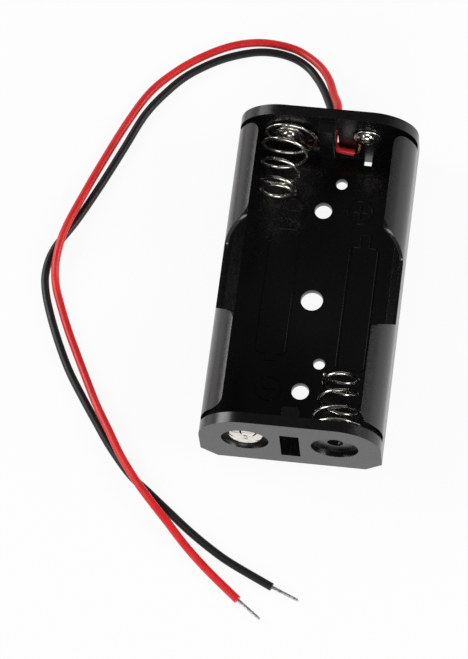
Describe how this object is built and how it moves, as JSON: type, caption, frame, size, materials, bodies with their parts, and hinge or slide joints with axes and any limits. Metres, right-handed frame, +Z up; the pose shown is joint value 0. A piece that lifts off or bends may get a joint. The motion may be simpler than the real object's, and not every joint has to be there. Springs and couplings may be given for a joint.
{
  "type": "cylindrical cell holder",
  "caption": "Open black cell holder with two side-by-side bays, snap-in clips, cone springs at opposite ends and a red and a black lead with bare ends.",
  "frame": {"origin": "middle of the tray's underside", "axes": "+Y along the cells towards the end where the leads come out, +Z up out of the open side, +X to the right seen from the link end"},
  "size_m": [0.0623, 0.1067, 0.0163],
  "materials": {
    "moulding": "gloss",
    "spring_wire": "gloss",
    "rivets": "gloss",
    "red_insulation": "satin",
    "black_insulation": "satin",
    "tinned_ends": "satin",
    "copper": "satin"
  },
  "bodies": {
    "holder": {"tray": "moulding", "rivet_negative": "rivets", "rivet_positive": "rivets", "rivet_link": "rivets", "red_lead": "red_insulation", "black_lead": "black_insulation", "red_lead_tip": "tinned_ends", "black_lead_tip": "tinned_ends", "red_lead_root": "red_insulation", "black_lead_root": "black_insulation", "red_strands": "copper", "black_strands": "copper"},
    "lead_end_spring": {"spring_lead_end": "spring_wire"},
    "link_end_spring": {"spring_link_end": "spring_wire"}
  },
  "joints": [
    {"name": "lead_end_press", "type": "slide", "parent": "holder", "child": "lead_end_spring", "axis": [0, 1, 0], "range_m": [0, 0.0085], "stiffness_N_per_m": 650, "deforming": ["spring_lead_end"]},
    {"name": "link_end_press", "type": "slide", "parent": "holder", "child": "link_end_spring", "axis": [0, -1, 0], "range_m": [0, 0.0085], "stiffness_N_per_m": 650, "deforming": ["spring_link_end"]}
  ]
}
